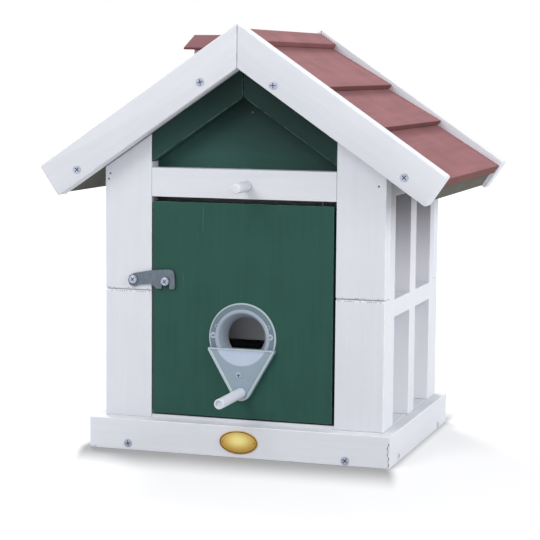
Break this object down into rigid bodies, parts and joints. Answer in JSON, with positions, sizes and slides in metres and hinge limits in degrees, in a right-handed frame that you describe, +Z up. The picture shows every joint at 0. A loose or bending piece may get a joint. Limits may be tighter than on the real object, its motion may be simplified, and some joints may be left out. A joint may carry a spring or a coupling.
{
  "type": "bird feeder",
  "caption": "Small wooden house-shaped bird feeder with a hinged front door, hook latch, round entry with perch, lattice side windows and a lapped pitched roof.",
  "frame": {"origin": "centre of the base's underside, on the floor", "axes": "+X to the right seen from the front, +Y from the front to the back, +Z up; the door faces -Y"},
  "size_m": [0.328, 0.2852, 0.3371],
  "materials": {
    "white_paint": "painted white, satin",
    "green_paint": "painted dark green, satin",
    "red_paint": "stained red-brown, matte",
    "roof_deck": "dark grey-olive, matte",
    "galvanised_steel": "zinc-plated, dull",
    "milky_plastic": "translucent milky plastic",
    "pane": "frosted plastic sheet",
    "brass": "satin"
  },
  "bodies": {
    "house": {"bottom_plate": "white_paint", "floor_plate": "white_paint", "base_board_front": "white_paint", "base_board_back": "white_paint", "base_board_left": "white_paint", "base_board_right": "white_paint", "name_plate": "brass", "door_sill": "white_paint", "pillar_left": "white_paint", "pillar_right": "white_paint", "cross_rail": "white_paint", "rail_peg": "white_paint", "gable_trim": "green_paint", "gable_panel": "green_paint", "window_posts_left": "white_paint", "window_posts_right": "white_paint", "window_bars_left": "white_paint", "window_bars_right": "white_paint", "window_pane_left": "pane", "window_pane_right": "pane", "rear_wall": "white_paint", "rear_gable": "white_paint", "feed_board": "white_paint", "roof_deck_left": "roof_deck", "roof_deck_right": "roof_deck", "ridge_cap_left": "red_paint", "ridge_cap_right": "red_paint", "roof_board_left_1": "red_paint", "roof_board_left_2": "red_paint", "roof_board_left_3": "red_paint", "roof_board_right_1": "red_paint", "roof_board_right_2": "red_paint", "roof_board_right_3": "red_paint", "dormer_block": "white_paint", "dormer_roof": "red_paint", "barge_front": "white_paint", "barge_rear": "white_paint", "hinge_pins": "galvanised_steel", "latch_screw": "galvanised_steel"},
    "door": {"door_panel": "green_paint", "entry_ring": "milky_plastic", "entry_cover": "milky_plastic", "perch": "milky_plastic", "catch_screw": "galvanised_steel"},
    "latch": {"latch_hook": "galvanised_steel"}
  },
  "joints": [
    {"name": "door_hinge", "type": "hinge", "parent": "house", "child": "door", "pos_m": [0.0636, -0.0829, 0.115], "axis": [0, 0, 1], "range_deg": [0, 110]},
    {"name": "latch_pivot", "type": "hinge", "parent": "house", "child": "latch", "pos_m": [-0.0905, -0.08945, 0.1358], "axis": [0, -1, 0], "range_deg": [0, 270]}
  ]
}
